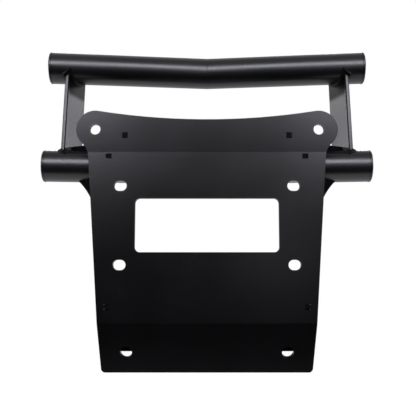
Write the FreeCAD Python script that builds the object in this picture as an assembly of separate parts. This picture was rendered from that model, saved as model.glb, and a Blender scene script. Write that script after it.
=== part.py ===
import FreeCAD, Part
import math
import os
from FreeCAD import Vector

os.makedirs("parts", exist_ok=True)

# All sizes are in millimetres and degrees.
# X runs across the vehicle, +Y points ahead of it and +Z up.
# The origin is the middle of the four winch bolt slots, on the plate's rear face.

# Mounting plate, one bent sheet
plate_thick = 4.76
plate_half_width_top = 115.8
plate_half_width_bottom = 104.0
bend_radius = 5.0
upper_bend_z = 71.35
ear_lean = 2.0
lower_bend_z = -93.4
flange_angle = 12.5
flange_length = 47.8
plate_corner_radius = 4.0
plate_neck_radius = 20.0

# Ears and the hollow top edge between them
ear_hole_inset = 6.65
ear_hole_rise = 22.4
ear_radius = 18.5
ear_hole_diameter = 10.3
top_edge_rise = 9.9

# Winch bolt slots, window and lower holes
bolt_spacing_x = 167.6
bolt_spacing_z = 76.2
slot_width = 9.8
slot_length = 12.3
window_width = 139.0
window_height = 51.8
window_corner_radius = 5.0
lower_hole_x = 76.7
lower_hole_drop = 27.9
lower_hole_diameter = 11.0

# Round tubes, each bent by one mitre in the middle
tube_diameter = 31.75
tube_wall = 2.4
sweep_angle = 5.8
tube_reach = 164.5
lower_tube_y = 19.3
lower_tube_z = 61.3
upper_tube_y = 32.9
upper_tube_z = 168.3

# End caps
cap_thick = 2.4
cap_edge_slope = 0.9
cap_overhang = 0.3

# Side plates between the two tubes
side_plate_thick = 4.76
side_plate_angle = 20.0
side_plate_inset = 22.6
side_plate_low_setback = 4.4
side_plate_high_setback = 2.8
side_plate_width = 30.6
side_plate_foot_rise = 4.7
side_plate_seat_depth = 3.8
side_plate_corner_radius = 4.0

# Cradle gussets, upright ribs from the plate to the lower tube
gusset_thick = 4.76
cradle_x = 95.5
cradle_above_axis = 9.2
cradle_below_axis = 18.3
cradle_nose_setback = 4.0
cradle_depth = 15.0
cradle_waist_z = 26.0
cradle_foot_length = 34.0
cradle_corner_radius = 3.0
cradle_waist_radius = 14.0

# Tabs that locate the ribs in the plate
tab_height = 4.0
tab_clearance = 0.5
tab_recess = 0.8
cradle_tab_upper_z = 67.4
cradle_tab_lower_z = -77.7
ear_rib_x = 80.0
ear_tab_rise = 16.5
ear_tab_height = 4.8

# Ear ribs, from the back of the ear flange to the top of the lower tube
ear_rib_top_rise = 25.0
ear_rib_bottom_z = 70.0
ear_rib_corner_radius = 3.0
ear_rib_top_depth = 6.0
ear_rib_seat_reach = 4.0

# Wing gussets, oblique plates from the cradle gussets out to the side plates
wing_thick = 4.76
wing_angle = 26.0
wing_above_axis = 20.7
wing_tip_reach = 35.2
wing_tip_z = 46.2
wing_foot_reach = 12.9
wing_foot_z = 14.1
wing_hollow_radius = 70.0

# Cross brace ahead of the lower flange
brace_thick = 4.76
brace_height = 22.0
brace_gap = 6.0
brace_lower_drop = 31.0

# Weld beads, laid as rows of flat facets just clear of the tube and the sheet
bead_leg = 2.5
bead_step = 2.0
bead_crown = 0.62
bead_clearance = 0.2
bead_tube_clearance = 0.33
touching = 0.001
corner_turn = 0.1

# Values that follow from the sizes above
ear_hole_x = plate_half_width_top - ear_hole_inset
side_plate_x = tube_reach - side_plate_inset
tube_radius = tube_diameter / 2
sweep = math.radians(sweep_angle)
edge_slope = (plate_half_width_top - plate_half_width_bottom) / (upper_bend_z - lower_bend_z)
MIRROR_PLANE = Vector(1, 0, 0)


def mirrored(shape):
    """The same piece on the other side of the middle plane."""
    return shape.mirror(Vector(0, 0, 0), MIRROR_PLANE)


def rounded_face(points, radii):
    """Flat face through the points, each corner rounded by its own radius."""
    edges = []
    corners = []
    count = len(points)
    for i in range(count):
        back = (points[i - 1] - points[i]).normalize()
        ahead = (points[(i + 1) % count] - points[i]).normalize()
        half = back.getAngle(ahead) / 2
        inward = (back + ahead).normalize()
        first = points[i] + back * (radii[i] / math.tan(half))
        last = points[i] + ahead * (radii[i] / math.tan(half))
        middle = points[i] + inward * (radii[i] / math.sin(half) - radii[i])
        corners.append((first, middle, last))
    for i in range(count):
        first, middle, last = corners[i]
        if radii[i] > 0:
            edges.append(Part.Arc(first, middle, last).toShape())
        edges.append(Part.makeLine(last, corners[(i + 1) % count][0]))
    return Part.Face(Part.Wire(edges))


def arc_through(start, end, radius, normal):
    """Arc of the given radius from start to end, bulging to the side of normal x chord."""
    chord = end - start
    sagitta = radius - math.sqrt(radius ** 2 - (chord.Length / 2) ** 2)
    middle = (start + end) * 0.5 + normal.cross(chord).normalize() * sagitta
    return Part.Arc(start, middle, end).toShape()


# Mounting plate
def ear_point(rise, depth=0.0):
    """Point of the ear flange's middle plane: rise above the bend, depth ahead of the rear face."""
    lean = math.radians(ear_lean)
    y = depth * math.cos(lean) - rise * math.sin(lean)
    z = upper_bend_z + rise * math.cos(lean) + depth * math.sin(lean)
    return y, z


def flange_point(drop, depth=0.0):
    """Point of the lower flange: drop below the bend, depth ahead of the rear face."""
    tilt = math.radians(flange_angle)
    y = depth * math.cos(tilt) + drop * math.sin(tilt)
    z = lower_bend_z - drop * math.cos(tilt) + depth * math.sin(tilt)
    return y, z


def plate_half_width(z):
    return plate_half_width_top + (z - upper_bend_z) * edge_slope


def bent_sheet():
    """The sheet seen from its side, bent at its two lines, swept across the full width."""
    top_rise = ear_hole_rise + ear_radius + bend_radius
    upper_front_z = upper_bend_z + plate_thick * math.tan(math.radians(ear_lean) / 2)
    lower_front_z = lower_bend_z + plate_thick * math.tan(math.radians(flange_angle) / 2)
    profile = [
        ear_point(top_rise),
        (0.0, upper_bend_z),
        (0.0, lower_bend_z),
        flange_point(flange_length),
        flange_point(flange_length, plate_thick),
        (plate_thick, lower_front_z),
        (plate_thick, upper_front_z),
        ear_point(top_rise, plate_thick),
    ]
    outer = bend_radius + plate_thick
    radii = [0, bend_radius, outer, 0, 0, bend_radius, outer, 0]
    reach = ear_hole_x + ear_radius + plate_corner_radius
    face = rounded_face([Vector(-reach, y, z) for y, z in profile], radii)
    return face.extrude(Vector(2 * reach, 0, 0))


def plate_outline():
    """Front view of the plate: tapered sides, rounded ears and a hollow top edge."""
    ear = Vector(ear_hole_x, 0, ear_point(ear_hole_rise)[1])
    along = Vector(edge_slope, 0, 1).normalize()
    outward = Vector(1, 0, -edge_slope).normalize()
    bottom_z = flange_point(flange_length)[1]
    foot = Vector(plate_half_width(bottom_z), 0, bottom_z)

    neck_side = plate_neck_radius - (ear - foot).dot(outward)
    neck_down = math.sqrt((ear_radius + plate_neck_radius) ** 2 - neck_side ** 2)
    neck_centre = ear + outward * neck_side - along * neck_down
    neck_low = neck_centre - outward * plate_neck_radius
    to_neck = (neck_centre - ear).normalize()
    neck_high = ear + to_neck * ear_radius
    neck_middle = neck_centre - (outward + to_neck).normalize() * plate_neck_radius

    top_radius = ear_hole_x ** 2 - ear_radius ** 2 + top_edge_rise ** 2
    top_radius /= 2 * (ear_radius - top_edge_rise)
    top_middle = Vector(0, 0, ear.z + top_edge_rise)
    top_centre = top_middle + Vector(0, 0, top_radius)
    to_top = (top_centre - ear).normalize()
    ear_top = ear + to_top * ear_radius
    start_angle = math.atan2(to_neck.z, to_neck.x)
    end_angle = math.atan2(to_top.z, to_top.x)
    mid_angle = (start_angle + end_angle) / 2
    ear_middle = ear + Vector(math.cos(mid_angle), 0, math.sin(mid_angle)) * ear_radius

    corner_half = along.getAngle(Vector(-1, 0, 0)) / 2
    corner_cut = plate_corner_radius / math.tan(corner_half)
    side_start = foot + along * corner_cut
    base_end = foot - Vector(corner_cut, 0, 0)
    inward = (along + Vector(-1, 0, 0)).normalize()
    corner_gap = plate_corner_radius / math.sin(corner_half) - plate_corner_radius
    corner_middle = foot + inward * corner_gap

    half = [
        Part.Arc(base_end, corner_middle, side_start).toShape(),
        Part.makeLine(side_start, neck_low),
        Part.Arc(neck_low, neck_middle, neck_high).toShape(),
        Part.Arc(neck_high, ear_middle, ear_top).toShape(),
    ]
    edges = [Part.makeLine(mirrored(Part.Vertex(base_end)).Point, base_end)]
    edges += half
    edges.append(Part.Arc(ear_top, top_middle, mirrored(Part.Vertex(ear_top)).Point).toShape())
    edges += [mirrored(edge) for edge in reversed(half)]
    return Part.Face(Part.Wire(Part.__sortEdges__(edges)))


def hole_through(x, y, z, tilt, diameter):
    """Round cutter through a flange that is tilted from the upright plane."""
    axis = Vector(0, math.cos(math.radians(tilt)), math.sin(math.radians(tilt)))
    start = Vector(x, y, z) - axis * plate_thick
    return Part.makeCylinder(diameter / 2, plate_thick * 3, start, axis)


def bolt_slot(x, z):
    """Slot cutter, long across the vehicle, with round ends."""
    radius = slot_width / 2
    flat = slot_length - slot_width
    depth = plate_thick * 3
    cutter = Part.makeBox(flat, depth, slot_width, Vector(x - flat / 2, -plate_thick, z - radius))
    for side in (-1, 1):
        end = Vector(x + side * flat / 2, -plate_thick, z)
        cutter = cutter.fuse(Part.makeCylinder(radius, depth, end, Vector(0, 1, 0)))
    return cutter.removeSplitter()


def window_cutter():
    half_w = window_width / 2
    half_h = window_height / 2
    corners = [(-half_w, -half_h), (half_w, -half_h), (half_w, half_h), (-half_w, half_h)]
    face = rounded_face([Vector(x, -plate_thick, z) for x, z in corners], [window_corner_radius] * 4)
    return face.extrude(Vector(0, plate_thick * 3, 0))


def tab_slot(x, y, z, height):
    """Square cutter right through the sheet, a little larger than the tab it takes."""
    width = gusset_thick + 2 * tab_clearance
    tall = height + 2 * tab_clearance
    low = Vector(x - width / 2, y - plate_thick, z - tall / 2)
    return Part.makeBox(width, plate_thick * 3, tall, low)


def tab_places():
    """Middle of each tab on the right side, with its height."""
    ear_y, ear_z = ear_point(ear_tab_rise)
    return {
        "cradle_upper": (cradle_x, 0.0, cradle_tab_upper_z, tab_height),
        "cradle_lower": (cradle_x, 0.0, cradle_tab_lower_z, tab_height),
        "ear": (ear_rib_x, ear_y, ear_z, ear_tab_height),
    }


def mounting_plate():
    outline = plate_outline()
    reach = flange_point(flange_length, plate_thick)[0] + plate_thick
    prism = outline.extrude(Vector(0, 2 * reach, 0)).translated(Vector(0, -reach, 0))
    plate = bent_sheet().common(prism)
    cutters = [window_cutter()]
    for x in (-bolt_spacing_x / 2, bolt_spacing_x / 2):
        for z in (-bolt_spacing_z / 2, bolt_spacing_z / 2):
            cutters.append(bolt_slot(x, z))
    for side in (-1, 1):
        y, z = ear_point(ear_hole_rise)
        cutters.append(hole_through(side * ear_hole_x, y, z, ear_lean, ear_hole_diameter))
        y, z = flange_point(lower_hole_drop)
        cutters.append(hole_through(side * lower_hole_x, y, z, flange_angle, lower_hole_diameter))
        for x, y, z, height in tab_places().values():
            cutters.append(tab_slot(side * x, y, z, height))
    return plate.cut(cutters).removeSplitter()


# Tubes
def tube_axis_y(end_y, x):
    """How far ahead the tube's axis lies at a distance x from the middle."""
    return end_y + (tube_reach - abs(x)) * math.tan(sweep)


def tube_direction():
    """Outward direction of a right-hand tube half."""
    return Vector(math.cos(sweep), -math.sin(sweep), 0)


def tube_core(end_y, z, radius, end_gap):
    """Solid round bar along a right-hand tube half, cut on the middle plane."""
    direction = tube_direction()
    middle = Vector(0, tube_axis_y(end_y, 0), z)
    length = tube_reach / math.cos(sweep) - end_gap
    start = middle - direction * tube_diameter
    bar = Part.makeCylinder(radius, length + tube_diameter, start, direction)
    beyond = 2 * tube_diameter
    corner = Vector(-beyond, middle.y - beyond, z - beyond)
    return bar.cut(Part.makeBox(beyond, 2 * beyond, 2 * beyond, corner))


def tube_half(end_y, z):
    outer = tube_core(end_y, z, tube_radius, cap_thick)
    bore = tube_core(end_y, z, tube_radius - tube_wall, cap_thick - tube_wall)
    return outer.cut(bore)


def end_cap(end_y, z):
    """Round disc with a dressed edge, welded over the open end of a tube."""
    direction = tube_direction()
    face = Vector(tube_reach, end_y, z) - direction * cap_thick
    rim_radius = tube_radius + cap_overhang
    profile = [
        (0, 0),
        (0, cap_thick),
        (rim_radius - cap_edge_slope, cap_thick),
        (rim_radius, cap_thick - cap_edge_slope),
        (rim_radius, 0),
    ]
    points = [face + direction * along + Vector(0, 0, radius) for radius, along in profile]
    return rounded_face(points, [0] * len(points)).revolve(face, direction, 360)


def whole_bar(end_y, z, radius):
    """Both halves of a tube as one solid bar, for copes."""
    half = tube_core(end_y, z, radius, 0)
    return half.fuse(mirrored(half))


lower_bar = whole_bar(lower_tube_y, lower_tube_z, tube_radius)
upper_bar = whole_bar(upper_tube_y, upper_tube_z, tube_radius)
plate_solid = mounting_plate()


# Side plates
def side_edge_point(end_y, z, setback):
    """Point of the near edge: setback is measured from the rearmost line of a tube."""
    return Vector(side_plate_x, tube_axis_y(end_y, side_plate_x) - tube_radius + setback, z)


def side_up():
    """Direction of the near edge, which leans forward with the two tubes."""
    low = side_edge_point(lower_tube_y, lower_tube_z, side_plate_low_setback)
    high = side_edge_point(upper_tube_y, upper_tube_z, side_plate_high_setback)
    return (high - low).normalize()


def side_point(along, z):
    """Point of the side plate's inner face, along it from the near edge at the height z."""
    angle = math.radians(side_plate_angle)
    foot = side_edge_point(lower_tube_y, lower_tube_z, side_plate_low_setback)
    up = side_up()
    return foot + Vector(-math.sin(angle), math.cos(angle), 0) * along + up * ((z - lower_tube_z) / up.z)


def side_slab(start, end, low_z, high_z, thick, radii):
    """Slab on the outer side of the inner face, between two distances and two heights."""
    places = [(start, low_z), (end, low_z), (end, high_z), (start, high_z)]
    points = [side_point(along, z) for along, z in places]
    outward = (points[1] - points[0]).cross(points[3] - points[0]).normalize()
    return rounded_face(points, radii).extrude(outward * thick)


def side_plate():
    bottom_z = lower_tube_z + side_plate_foot_rise
    top_z = upper_tube_z - side_plate_seat_depth
    radii = [0, side_plate_corner_radius, 0, 0]
    blank = side_slab(0, side_plate_width, bottom_z, top_z, side_plate_thick, radii)
    return blank.cut([lower_bar, upper_bar])


# Ribs behind the plate
def rib_from_profile(profile, radii, x):
    """Upright rib of the gusset sheet, drawn in the fore-and-aft plane."""
    face = rounded_face([Vector(x - gusset_thick / 2, y, z) for y, z in profile], radii)
    return face.extrude(Vector(gusset_thick, 0, 0))


def with_tab(rib, name):
    """The rib with its tab, set back a little from the plate's rear face."""
    x, y, z, height = tab_places()[name]
    tab = Part.makeBox(
        gusset_thick,
        plate_thick - tab_recess,
        height,
        Vector(x - gusset_thick / 2, y + tab_recess, z - height / 2),
    )
    return rib.fuse(tab)


def cradle_gusset():
    """Rib that follows the plate's front face and cradles the lower tube."""
    axis_y = tube_axis_y(lower_tube_y, cradle_x)
    top_z = lower_tube_z + cradle_above_axis
    nose_y = axis_y - cradle_nose_setback
    nose_z = lower_tube_z - cradle_below_axis
    waist = plate_thick + cradle_depth
    bend_z = lower_bend_z + waist * math.tan(math.radians(flange_angle) / 2)
    foot_front = flange_point(cradle_foot_length, waist)
    foot_back = flange_point(cradle_foot_length, plate_thick / 2)
    profile = [
        (plate_thick / 2, top_z),
        (axis_y, top_z),
        (nose_y, lower_tube_z),
        (nose_y, nose_z),
        (waist, cradle_waist_z),
        (waist, bend_z),
        foot_front,
        foot_back,
        (plate_thick / 2, lower_bend_z),
    ]
    radii = [0, 0, 0, cradle_corner_radius, cradle_waist_radius, 0, cradle_corner_radius, 0, 0]
    rib = rib_from_profile(profile, radii, cradle_x).cut([lower_bar, plate_solid])
    rib = with_tab(rib, "cradle_upper")
    return with_tab(rib, "cradle_lower").removeSplitter()


def ear_rib():
    """Rib from the front of the ear flange to the top of the lower tube."""
    axis_y = tube_axis_y(lower_tube_y, ear_rib_x)
    top_y, top_z = ear_point(ear_rib_top_rise, plate_thick / 2)
    front_y, front_z = ear_point(ear_rib_top_rise, plate_thick + ear_rib_top_depth)
    profile = [
        (top_y, top_z),
        (front_y, front_z),
        (axis_y + ear_rib_seat_reach, lower_tube_z + tube_radius),
        (axis_y + ear_rib_seat_reach, ear_rib_bottom_z),
        (plate_thick / 2, ear_rib_bottom_z),
    ]
    radii = [0, ear_rib_corner_radius, ear_rib_corner_radius, 0, 0]
    rib = rib_from_profile(profile, radii, ear_rib_x).cut([lower_bar, plate_solid])
    return with_tab(rib, "ear").removeSplitter()


# Wing gussets
def wing_direction():
    angle = math.radians(wing_angle)
    return Vector(math.cos(angle), math.sin(angle), 0)


def wing_ahead():
    angle = math.radians(wing_angle)
    return Vector(-math.sin(angle), math.cos(angle), 0)


def wing_point(reach, z):
    """Point of the wing's rear face: reach is measured from the corner of plate and cradle."""
    return Vector(cradle_x + gusset_thick / 2, plate_thick, z) + wing_direction() * reach


def wing_gusset():
    """Oblique plate that wraps the lower tube and stops against cradle and side plate."""
    top_z = lower_tube_z + wing_above_axis
    beyond = 2 * tube_diameter
    tip = wing_point(wing_tip_reach, wing_tip_z)
    foot = wing_point(wing_foot_reach, wing_foot_z)
    outline = [
        Part.makeLine(wing_point(-wing_thick * 3, top_z), wing_point(beyond, top_z)),
        Part.makeLine(wing_point(beyond, top_z), wing_point(beyond, lower_tube_z)),
        Part.makeLine(wing_point(beyond, lower_tube_z), wing_point(wing_tip_reach, lower_tube_z)),
        Part.makeLine(wing_point(wing_tip_reach, lower_tube_z), tip),
        arc_through(tip, foot, wing_hollow_radius, wing_ahead()),
        Part.makeLine(foot, wing_point(-wing_thick * 3, wing_foot_z)),
        Part.makeLine(wing_point(-wing_thick * 3, wing_foot_z), wing_point(-wing_thick * 3, top_z)),
    ]
    blank = Part.Face(Part.Wire(outline)).extrude(wing_ahead() * wing_thick)
    root_x = cradle_x + gusset_thick / 2
    inner_waste = Part.makeBox(beyond, 2 * beyond, 4 * beyond, Vector(root_x - beyond, -beyond, -2 * beyond))
    outer_waste = side_slab(-beyond, 2 * beyond, -beyond, 2 * beyond, beyond, [0, 0, 0, 0])
    return blank.cut([inner_waste, outer_waste, lower_bar])


def lower_brace():
    """Flat bar between the two cradle gussets, ahead of the lower holes."""
    inner = cradle_x - gusset_thick / 2
    depth = plate_thick + brace_gap
    corners = [
        flange_point(brace_lower_drop - brace_height, depth),
        flange_point(brace_lower_drop, depth),
        flange_point(brace_lower_drop, depth + brace_thick),
        flange_point(brace_lower_drop - brace_height, depth + brace_thick),
    ]
    face = rounded_face([Vector(-inner, y, z) for y, z in corners], [0, 0, 0, 0])
    return face.extrude(Vector(2 * inner, 0, 0))


# Weld beads
def joint_loop(piece, bar):
    """Closed run of a piece's edges that lie on the surface of the tube it is welded to."""
    found = []
    for edge in piece.Edges:
        samples = edge.discretize(5)
        if all(bar.distToShape(Part.Vertex(p))[0] < touching for p in samples):
            found.append(edge)
    return Part.sortEdges(found)[0]


def side_normal(piece, edge):
    """Outward normal, at a joint edge, of the piece's flat face that ends there."""
    middle = edge.discretize(3)[1]
    for face in piece.Faces:
        seated = isinstance(face.Surface, Part.Cylinder) and abs(face.Surface.Radius - tube_radius) < touching
        if not seated and face.distToShape(Part.Vertex(middle))[0] < touching:
            return face.normalAt(*face.Surface.parameter(middle))
    raise ValueError("no face beside this joint edge")


def axis_foot(point, end_y, z):
    """Nearest point on the axis of a right-hand tube half."""
    start = Vector(0, tube_axis_y(end_y, 0), z)
    direction = tube_direction()
    return start + direction * (point - start).dot(direction)


def on_tube(point, end_y, z):
    """The point moved square to the tube's axis, to just clear of its surface."""
    foot = axis_foot(point, end_y, z)
    return foot + (point - foot).normalize() * (tube_radius + bead_tube_clearance)


def bead_section(point, normals, end_y, z):
    """Fillet section: root, toe on the tube, crown and toe on the sheet, or on its corner."""
    up = (point - axis_foot(point, end_y, z)).normalize()
    aways = [(normal - up * normal.dot(up)).normalize() for normal in normals]
    spread = sum(aways, Vector()) * (1 / len(aways))
    spread = spread * (1 / spread.dot(spread))
    corner = normals[0].cross(normals[-1])
    if corner.Length > corner_turn:
        along = corner.normalize()
        along = along * math.copysign(1, along.dot(up))
    else:
        along = (up - normals[0] * normals[0].dot(up)).normalize()
    off = sum(normals, Vector()) * (1 / len(normals))
    off = off * (bead_clearance / off.dot(off))
    root = on_tube(point + off, end_y, z)
    tube_toe = on_tube(point + spread * bead_leg, end_y, z)
    crown = point + (up + spread) * (bead_leg * bead_crown)
    sheet_toe = point + along * bead_leg + off
    return [root, tube_toe, crown, sheet_toe]


def bead_round(piece, loop, end_y, z):
    """Closed bead along a loop of joint edges, mitred where the loop turns a corner."""
    normals = [side_normal(piece, edge) for edge in loop]
    sections = []
    for i, edge in enumerate(loop):
        steps = max(2, round(edge.Length / bead_step))
        points = edge.discretize(steps + 1)
        if min((points[0] - v.Point).Length for v in loop[i - 1].Vertexes) > touching:
            points.reverse()
        for k, point in enumerate(points[:-1]):
            sides = [normals[i]] if k > 0 else [normals[i - 1], normals[i]]
            sections.append(bead_section(point, sides, end_y, z))
    faces = []
    for i, here in enumerate(sections):
        before = sections[i - 1]
        for k in range(len(here)):
            faces.append(Part.Face(Part.makePolygon([before[k - 1], before[k], here[k], before[k - 1]])))
            faces.append(Part.Face(Part.makePolygon([before[k - 1], here[k], here[k - 1], before[k - 1]])))
    bead = Part.makeSolid(Part.makeShell(faces))
    if bead.Volume < 0:
        bead.reverse()
    return bead


def tube_weld(piece, bar, end_y, z):
    """Bead all round the joint of a flat piece with a tube."""
    return bead_round(piece, joint_loop(piece, bar), end_y, z)


def write(node, shape):
    shape.exportStep("parts/" + node + ".step")


def write_pair(name, shape):
    """One node for each side: +X is the right side."""
    write(name + "_right", shape)
    write(name + "_left", mirrored(shape))


side = side_plate()
cradle = cradle_gusset()
rib = ear_rib()
wing = wing_gusset()
brace = lower_brace()

write("mounting_plate", plate_solid)
write_pair("lower_tube", tube_half(lower_tube_y, lower_tube_z))
write_pair("upper_tube", tube_half(upper_tube_y, upper_tube_z))
write_pair("lower_end_cap", end_cap(lower_tube_y, lower_tube_z))
write_pair("upper_end_cap", end_cap(upper_tube_y, upper_tube_z))
write_pair("side_plate", side)
write_pair("cradle_gusset", cradle)
write_pair("ear_rib", rib)
write_pair("wing_gusset", wing)
write("lower_brace", brace)
write_pair("side_plate_upper_weld", tube_weld(side, upper_bar, upper_tube_y, upper_tube_z))
write_pair("side_plate_lower_weld", tube_weld(side, lower_bar, lower_tube_y, lower_tube_z).cut(wing))
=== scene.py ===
import math

import bmesh
import bpy
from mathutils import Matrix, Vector


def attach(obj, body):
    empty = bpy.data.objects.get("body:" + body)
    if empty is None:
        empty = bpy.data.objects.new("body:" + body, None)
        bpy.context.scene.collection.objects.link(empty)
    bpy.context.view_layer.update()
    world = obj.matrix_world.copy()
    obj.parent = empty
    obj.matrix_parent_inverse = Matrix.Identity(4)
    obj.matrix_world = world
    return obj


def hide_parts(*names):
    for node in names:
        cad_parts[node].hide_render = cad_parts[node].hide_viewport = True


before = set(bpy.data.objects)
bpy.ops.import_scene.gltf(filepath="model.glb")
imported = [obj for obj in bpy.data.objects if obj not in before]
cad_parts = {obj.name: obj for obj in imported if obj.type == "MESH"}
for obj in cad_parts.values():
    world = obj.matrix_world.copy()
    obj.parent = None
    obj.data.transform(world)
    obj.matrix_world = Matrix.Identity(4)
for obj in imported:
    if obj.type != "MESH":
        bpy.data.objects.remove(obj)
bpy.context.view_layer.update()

# Mounting plate
# One sheet of 4.76 mm steel, laser cut and bent at two lines, with ears for the frame bolts,
# slots for the winch bolts and a window. It is powder coated satin black with the rest.
SAME_POINT = 2e-6
FLAT_TURN = math.radians(0.4)
SHARP_TURN = math.radians(28)
EASE_STEPS = 3
FLATNESS_WEIGHT = 100


def eased_copy(node, piece_name, ease):
    """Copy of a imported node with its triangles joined, and its sharp edges rounded by ease.

    Where ease is 0 the edges stay sharp.
    """
    shape = bmesh.new()
    shape.from_mesh(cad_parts[node].data)
    bmesh.ops.remove_doubles(shape, verts=shape.verts, dist=SAME_POINT)
    bmesh.ops.dissolve_limit(shape, angle_limit=FLAT_TURN, verts=shape.verts, edges=shape.edges)
    for face in shape.faces:
        face.smooth = True
    for edge in shape.edges:
        edge.smooth = ease > 0.0 or edge.calc_face_angle(0.0) < SHARP_TURN
    mesh = bpy.data.meshes.new(piece_name)
    shape.to_mesh(mesh)
    shape.free()
    piece = bpy.data.objects.new(piece_name, mesh)
    bpy.context.scene.collection.objects.link(piece)
    if ease > 0.0:
        bevel = piece.modifiers.new("eased_edges", "BEVEL")
        bevel.width = ease
        bevel.segments = EASE_STEPS
        bevel.limit_method = "ANGLE"
        bevel.angle_limit = SHARP_TURN
    weighted = piece.modifiers.new("flat_faces_stay_flat", "WEIGHTED_NORMAL")
    weighted.keep_sharp = True
    weighted.mode = "FACE_AREA"
    weighted.weight = FLATNESS_WEIGHT
    return piece


class Value:
    """A node's output that takes part in Python maths: each operator adds one Math node."""

    def __init__(self, shader, socket):
        self.shader = shader
        self.socket = socket

    def maths(self, operation, first, second):
        return self.shader.add("ShaderNodeMath", {"operation": operation}, {0: first, 1: second})

    def __add__(self, other):
        return self.maths("ADD", self, other)

    def __radd__(self, other):
        return self.maths("ADD", other, self)

    def __sub__(self, other):
        return self.maths("SUBTRACT", self, other)

    def __rsub__(self, other):
        return self.maths("SUBTRACT", other, self)

    def __mul__(self, other):
        return self.maths("MULTIPLY", self, other)

    def __rmul__(self, other):
        return self.maths("MULTIPLY", other, self)


class Shader:
    """Node tree of one material or of the world."""

    def __init__(self, tree):
        self.tree = tree
        tree.nodes.clear()

    def add(self, kind, settings=None, inputs=None, output=0):
        """One node: its settings are set first, then its sockets are given values or links."""
        node = self.tree.nodes.new(kind)
        for name, value in (settings or {}).items():
            setattr(node, name, value)
        for name, value in (inputs or {}).items():
            if isinstance(value, Value):
                self.tree.links.new(value.socket, node.inputs[name])
            else:
                node.inputs[name].default_value = value
        return Value(self, node.outputs[output]) if node.outputs else None


THIN_POWDER = (0.0009, 0.0009, 0.001, 1.0)
THICK_POWDER = (0.0013, 0.0013, 0.0016, 1.0)
COOL_SHEEN = (0.9, 0.9, 1.0, 1.0)
CLOUDS_PER_METRE = 22.0
PEEL_PER_METRE = 620.0
GRAINS_PER_METRE = 2400.0
PEEL_SHARE = 0.75
SKIN_DEPTH = 0.00006
SKIN_STRENGTH = 0.35
GLOSS_CHANGE = 0.08


def noise(shader, place, scale, detail):
    """Noise on the object's own coordinates, with its scale in features a metre."""
    return shader.add("ShaderNodeTexNoise", None, {"Vector": place, "Scale": scale, "Detail": detail})


def powder_surface(shader, place, roughness, specular):
    """Baked black powder: an orange-peel skin with fine grains and a slow change of gloss."""
    cloud = noise(shader, place, CLOUDS_PER_METRE, detail=3.0)
    peel = noise(shader, place, PEEL_PER_METRE, detail=1.0)
    grain = noise(shader, place, GRAINS_PER_METRE, detail=0.0)
    tint = shader.add(
        "ShaderNodeMix",
        {"data_type": "RGBA"},
        {0: cloud, 6: THIN_POWDER, 7: THICK_POWDER},
        output=2,
    )
    relief = PEEL_SHARE * peel + (1.0 - PEEL_SHARE) * grain
    skin = shader.add(
        "ShaderNodeBump", None, {"Height": relief, "Distance": SKIN_DEPTH, "Strength": SKIN_STRENGTH}
    )
    return shader.add(
        "ShaderNodeBsdfPrincipled",
        None,
        {
            "Base Color": tint,
            "Roughness": roughness - GLOSS_CHANGE / 2 + GLOSS_CHANGE * cloud,
            "Specular IOR Level": specular,
            "Specular Tint": COOL_SHEEN,
            "Normal": skin,
        },
    )


def powder_coat(name, roughness, specular):
    """Material that is powder coat all over."""
    material = bpy.data.materials.new(name)
    material.use_nodes = True
    shader = Shader(material.node_tree)
    place = shader.add("ShaderNodeTexCoord", output="Object")
    surface = powder_surface(shader, place, roughness, specular)
    shader.add("ShaderNodeOutputMaterial", None, {"Surface": surface})
    return material


def finished(piece, material, slot, *nodes):
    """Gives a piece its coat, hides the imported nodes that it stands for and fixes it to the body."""
    piece.data.materials.clear()
    piece.data.materials.append(material)
    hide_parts(*nodes)
    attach(piece, "root")


plate_coat = powder_coat("plate_powder_coat", roughness=0.26, specular=0.28)
plate = eased_copy("mounting_plate", "plate_sheet", ease=0.0)
finished(plate, plate_coat, "plate_coat", "mounting_plate")

# Tubes
# Two round steel tubes of 31.75 mm, each cut and welded at a mitre in the middle, which makes
# the shallow V. The tubes look brighter than the plate in the photograph, so the same powder
# coat is given more gloss here.
tube_coat = powder_coat("tube_powder_coat", roughness=0.33, specular=0.55)
for level in ("lower", "upper"):
    for side in ("left", "right"):
        node = f"{level}_tube_{side}"
        half = eased_copy(node, f"{node}_drawn", ease=0.0003)
        finished(half, tube_coat, "tube_coat", node)

# End caps
# A steel disc welded over each open tube end and dressed round at its edge. It takes the same
# coat as the tube that it closes.
for level in ("lower", "upper"):
    for side in ("left", "right"):
        node = f"{level}_end_cap_{side}"
        cap = eased_copy(node, f"{node}_disc", ease=0.0005)
        finished(cap, tube_coat, "cap_coat", node)

# Side plates
# Flat plates cut from the same sheet, coped to both tubes and welded on edge between them. The
# corner under the upper tube is given a duller coat, which is painted shade, and the four long
# edges, which are dressed round, get a dull coat that paints a dark shade line along them.
PAINTED_SHADE_FROM_HEIGHT = 0.1335
PAINTED_SHADE_FULL_HEIGHT = 0.1395
EDGE_DEPTH = 0.0205
OFF_EDGE_DEPTH = 0.0225
PAINTED_SHADE_SHARE = 0.94
LONG_EDGE = 0.05
side_plate_coat_and_shade = bpy.data.materials.new("side_plate_powder_and_shade")
side_plate_coat_and_shade.use_nodes = True
shader = Shader(side_plate_coat_and_shade.node_tree)
place = shader.add("ShaderNodeTexCoord", output="Object")
height = shader.add("ShaderNodeSeparateXYZ", None, {0: place}, output="Z")
depth = shader.add("ShaderNodeSeparateXYZ", None, {0: place}, output="Y")
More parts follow.
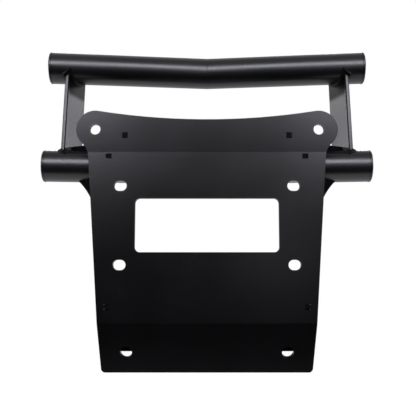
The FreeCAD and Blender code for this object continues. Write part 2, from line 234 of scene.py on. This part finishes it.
# Painted shade: the coat turns dull under the upper tube, away from the near edge.
shade_under_tube = shader.add(
    "ShaderNodeMapRange",
    {"interpolation_type": "SMOOTHSTEP"},
    {"Value": height, "From Min": PAINTED_SHADE_FROM_HEIGHT, "From Max": PAINTED_SHADE_FULL_HEIGHT},
)
off_the_edge = shader.add(
    "ShaderNodeMapRange",
    {"interpolation_type": "SMOOTHSTEP"},
    {"Value": depth, "From Min": EDGE_DEPTH, "From Max": OFF_EDGE_DEPTH},
)
glossy = powder_surface(shader, place, roughness=0.28, specular=0.55)
painted_shade_surface = powder_surface(shader, place, roughness=0.40, specular=0.05)
corner = PAINTED_SHADE_SHARE * shade_under_tube * off_the_edge
surface = shader.add("ShaderNodeMixShader", None, {0: corner, 1: glossy, 2: painted_shade_surface})
shader.add("ShaderNodeOutputMaterial", None, {"Surface": surface})
# Painted shade line: the long dressed edges are given a dull coat.
edge_shade_line_coat = powder_coat("edge_shade_line_powder_coat", roughness=0.5, specular=0.05)
for side in ("left", "right"):
    node = f"side_plate_{side}"
    sheet = eased_copy(node, f"{node}_sheet", ease=0.0009)
    finished(sheet, side_plate_coat_and_shade, "gusset_coat", node)
    sheet.data.materials.append(edge_shade_line_coat)
    corners = sheet.data.vertices
    dressed = sheet.data.attributes.new("bevel_weight_edge", "FLOAT", "EDGE")
    for edge in sheet.data.edges:
        first, second = (corners[index].co for index in edge.vertices)
        dressed.data[edge.index].value = float((second - first).length > LONG_EDGE)
    bevel = sheet.modifiers["eased_edges"]
    bevel.limit_method = "WEIGHT"
    bevel.use_clamp_overlap = False
    bevel.material = len(sheet.data.materials) - 1

# Wing gussets and brace
# The same sheet again, beside the ears and across the foot. Their coat is given little gloss,
# which is painted shade that makes them dark.
painted_shade_coat = powder_coat("painted_shade_powder_coat", roughness=0.24, specular=0.07)
for node, ease in (("wing_gusset_left", 0.0), ("wing_gusset_right", 0.0), ("lower_brace", 0.0004)):
    finished(eased_copy(node, f"{node}_sheet", ease), painted_shade_coat, "gusset_coat", node)

# Cradle gussets and ear ribs
# Upright ribs of the same sheet, whose tabs pass into the slots of the mounting plate. The
# coat is dull here as painted shade, so the tab ends look dark in their slots.
recess_shade_coat = powder_coat("recess_shade_powder_coat", roughness=0.6, specular=0.05)
for side in ("left", "right"):
    for part in ("cradle_gusset", "ear_rib"):
        node = f"{part}_{side}"
        rib = eased_copy(node, f"{node}_sheet", ease=0.0003)
        finished(rib, recess_shade_coat, "gusset_coat", node)

# Side plate welds
# Weld metal laid in short steps round both ends of each side plate. It is coated together with
# the sheet and the tube.
# The weld coat is given little gloss, which is painted shade that darkens the beads.
weld_coat = powder_coat("weld_shade_powder_coat", roughness=0.38, specular=0.1)
for side in ("left", "right"):
    for end in ("upper", "lower"):
        node = f"side_plate_{end}_weld_{side}"
        bead = eased_copy(node, f"{node}_bead", ease=0.0)
        finished(bead, weld_coat, "weld_coat", node)

# Studio
# The part hangs over a pale floor. The room behind the camera is dim, and soft boxes stand
# above the camera, at its sides and behind the part. Their strengths were chosen so that the
# part is shaded as it is in the photograph.
FLOOR_HALF_WIDTH = 6.0
FLOOR_FRONT = -0.16
FLOOR_BACK = 8.0
FLOOR_LEVEL = -0.30
WHITE = (1.0, 1.0, 1.0, 1.0)
floor_mesh = bpy.data.meshes.new("studio_floor")
floor_shape = bmesh.new()
bmesh.ops.create_grid(floor_shape, x_segments=1, y_segments=1, size=1.0)
half_depth = (FLOOR_BACK - FLOOR_FRONT) / 2
bmesh.ops.scale(floor_shape, verts=floor_shape.verts, vec=(FLOOR_HALF_WIDTH, half_depth, 1.0))
middle = (0.0, FLOOR_FRONT + half_depth, FLOOR_LEVEL)
bmesh.ops.translate(floor_shape, verts=floor_shape.verts, vec=middle)
floor_shape.to_mesh(floor_mesh)
floor_shape.free()
floor = bpy.data.objects.new("studio_floor", floor_mesh)
bpy.context.scene.collection.objects.link(floor)

paper = bpy.data.materials.new("pale_paper")
paper.use_nodes = True
shader = Shader(paper.node_tree)
seen = shader.add("ShaderNodeLightPath", output="Is Camera Ray")
mirrored = shader.add("ShaderNodeLightPath", output="Is Glossy Ray")
through = shader.add("ShaderNodeLightPath", output="Is Transmission Ray")
lit = shader.add("ShaderNodeBsdfDiffuse", None, {"Color": (0.9, 0.9, 0.9, 1.0)})
glow = shader.add("ShaderNodeEmission", None, {"Color": WHITE, "Strength": 1.0})
spot = shader.add("ShaderNodeTexCoord", output="Object")
reach = shader.add("ShaderNodeVectorMath", {"operation": "LENGTH"}, {0: spot}, output="Value")
far_off = shader.add(
    "ShaderNodeMapRange",
    {"interpolation_type": "SMOOTHSTEP"},
    {"Value": reach, "From Min": 0.45, "From Max": 1.0, "To Min": 0.7, "To Max": 1.0},
)
share = far_off * (seen + mirrored + through)
shown = shader.add("ShaderNodeMixShader", None, {0: share, 1: lit, 2: glow})
shader.add("ShaderNodeOutputMaterial", None, {"Surface": shown})
floor_mesh.materials.append(paper)

world = bpy.data.worlds.new("studio_room")
world.use_nodes = True
bpy.context.scene.world = world
room = Shader(world.node_tree)
direction = room.add("ShaderNodeTexCoord", output="Generated")
height = room.add("ShaderNodeSeparateXYZ", None, {0: direction}, output="Z")
overhead = room.add(
    "ShaderNodeMapRange",
    {"interpolation_type": "SMOOTHSTEP"},
    {"Value": height, "From Min": 0.4, "From Max": 0.8, "To Min": 0.03, "To Max": 0.45},
)
depth = room.add("ShaderNodeSeparateXYZ", None, {0: direction}, output="Y")
beyond = room.add(
    "ShaderNodeMapRange",
    {"interpolation_type": "SMOOTHSTEP"},
    {"Value": depth, "From Min": 0.0, "From Max": 0.5, "To Min": 0.0, "To Max": 0.32},
)
across = room.add("ShaderNodeSeparateXYZ", None, {0: direction}, output="X")
beside = room.add(
    "ShaderNodeMapRange",
    {"interpolation_type": "SMOOTHSTEP"},
    {"Value": across * across, "From Min": 0.35, "From Max": 0.9, "To Min": 0.0, "To Max": 0.28},
)
above = overhead + beyond + beside
straight = room.add("ShaderNodeLightPath", output="Is Camera Ray")
clear = room.add("ShaderNodeLightPath", output="Is Transmission Ray")
white = straight + clear
strength = above + white * (1.0 - above)
backing = room.add("ShaderNodeBackground", None, {"Color": WHITE, "Strength": strength})
room.add("ShaderNodeOutputWorld", None, {"Surface": backing})
LAMP_AIM = Vector((0.0, 0.0, 0.08))


def soft_box(name, turn, rise, away, size, radiance):
    """Rectangular lamp that faces the part, set by the brightness of its cloth.

    turn is its bearing in degrees from straight behind the camera, rise its height angle.
    """
    width, height = size
    lamp = bpy.data.lights.new(name, "AREA")
    lamp.shape = "RECTANGLE"
    lamp.size = width
    lamp.size_y = height
    lamp.energy = radiance * math.pi * width * height
    box = bpy.data.objects.new(name, lamp)
    turn, rise = math.radians(turn), math.radians(rise)
    level = math.cos(rise)
    towards = Vector((math.sin(turn) * level, -math.cos(turn) * level, math.sin(rise)))
    box.location = LAMP_AIM + away * towards
    box.rotation_euler = (-towards).to_track_quat("-Z", "Y").to_euler()
    bpy.context.scene.collection.objects.link(box)


soft_box("key_upper", turn=0.0, rise=33.0, away=1.6, size=(0.75, 0.3), radiance=9.6)
soft_box("key_wide", turn=0.0, rise=26.0, away=1.6, size=(1.3, 0.5), radiance=2.6)
soft_box("rear_middle", turn=180.0, rise=28.0, away=2.2, size=(1.3, 0.5), radiance=3.0)
soft_box("bounce_right", turn=10.0, rise=-2.0, away=1.6, size=(0.3, 0.25), radiance=1.4)
for name, side in (("left", -1), ("right", 1)):
    soft_box(f"front_{name}", turn=side * 12.0, rise=24.0, away=1.6, size=(0.4, 0.2), radiance=10.0)
    soft_box(f"key_{name}", turn=side * 22.0, rise=19.0, away=1.6, size=(0.35, 0.3), radiance=18.5)
    soft_box(f"flank_{name}", turn=side * 58.0, rise=28.0, away=1.6, size=(0.35, 0.55), radiance=9.5)
    soft_box(f"rim_{name}", turn=side * 118.0, rise=13.0, away=2.2, size=(0.6, 0.5), radiance=7.5)
    soft_box(f"rim_upper_{name}", turn=side * 127.0, rise=30.0, away=2.2, size=(0.6, 0.5), radiance=3.0)
    soft_box(f"rear_{name}", turn=side * 150.0, rise=30.0, away=2.2, size=(0.9, 0.6), radiance=6.0)

# Camera
# It stands 0.5 m behind the plate, a little below the middle, and looks slightly upwards. The
# lens and its axis are given in pixels of the photograph's frame.
SENSOR_WIDTH = 36.0
NEAREST_SEEN = 0.01
CAMERA_DISTANCE = 0.5046
CAMERA_TILT = math.radians(5.69)
AIM_HEIGHT = 0.00976
PHOTO_SIDE = 416
FOCAL_PIXELS = 525.0
AXIS_COLUMN = 207.0
AXIS_ROW = 215.0
lens = bpy.data.cameras.new("view")
lens.sensor_width = SENSOR_WIDTH
lens.lens = FOCAL_PIXELS / PHOTO_SIDE * SENSOR_WIDTH
lens.shift_x = (PHOTO_SIDE / 2 - AXIS_COLUMN) / PHOTO_SIDE
lens.shift_y = (AXIS_ROW - PHOTO_SIDE / 2) / PHOTO_SIDE
lens.clip_start = NEAREST_SEEN
camera = bpy.data.objects.new("view", lens)
camera.location = (
    0.0,
    -CAMERA_DISTANCE * math.cos(CAMERA_TILT),
    AIM_HEIGHT - CAMERA_DISTANCE * math.sin(CAMERA_TILT),
)
camera.rotation_euler = (math.pi / 2 + CAMERA_TILT, 0.0, 0.0)
bpy.context.scene.collection.objects.link(camera)
bpy.context.scene.camera = camera
bpy.context.scene.view_settings.view_transform = "Standard"
